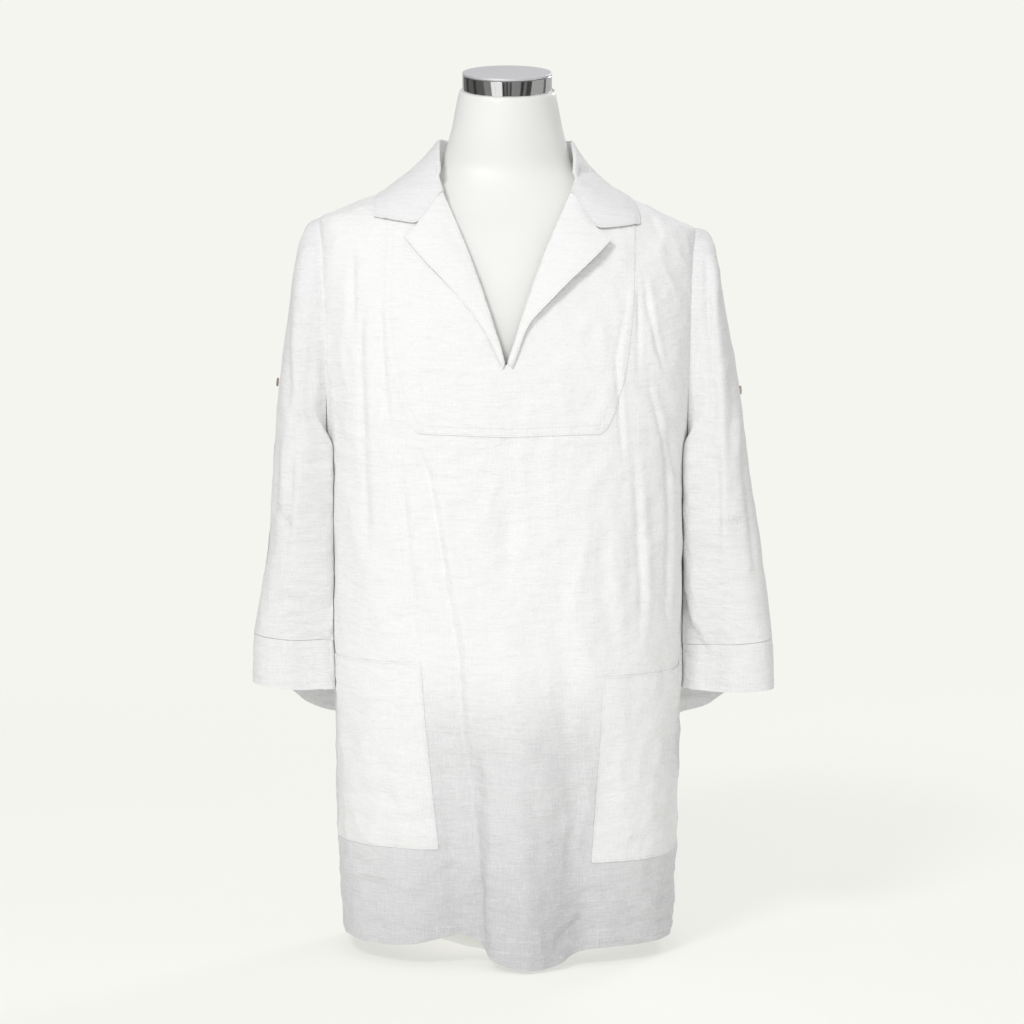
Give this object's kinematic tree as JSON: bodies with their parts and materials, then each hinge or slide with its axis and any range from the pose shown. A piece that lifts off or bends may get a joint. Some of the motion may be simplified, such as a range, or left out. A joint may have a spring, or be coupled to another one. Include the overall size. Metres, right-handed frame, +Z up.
{
  "type": "long shirt on a dress form",
  "caption": "Long linen shirt with V neck, notched collar, chest bib, patch pockets and three-quarter sleeves, on a limbless dress form.",
  "frame": {"origin": "centre of the form's flat underside, on the surface it stands on", "axes": "+Z up along the form, -Y out of the shirt's front, +X towards the right sleeve as seen from the front"},
  "size_m": [0.5426, 0.2908, 0.9161],
  "materials": {
    "linen": "white linen, plain weave with slubs, matte",
    "button": "brown edge, pale face, slight gloss",
    "form": "smooth satin white",
    "chrome_band": "polished",
    "cap_satin": "satin"
  },
  "bodies": {
    "root": {"front": "linen", "bib": "linen", "back": "linen", "sleeve_left": "linen", "sleeve_right": "linen", "cuff_left": "linen", "cuff_right": "linen", "collar": "linen", "lapel_left": "linen", "lapel_right": "linen", "pocket_left": "linen", "pocket_right": "linen", "tab_left": "linen", "tab_right": "linen", "button_left": "button", "button_right": "button", "form_torso": "form", "neck_band": "chrome_band", "cap_top": "cap_satin"}
  },
  "joints": []
}
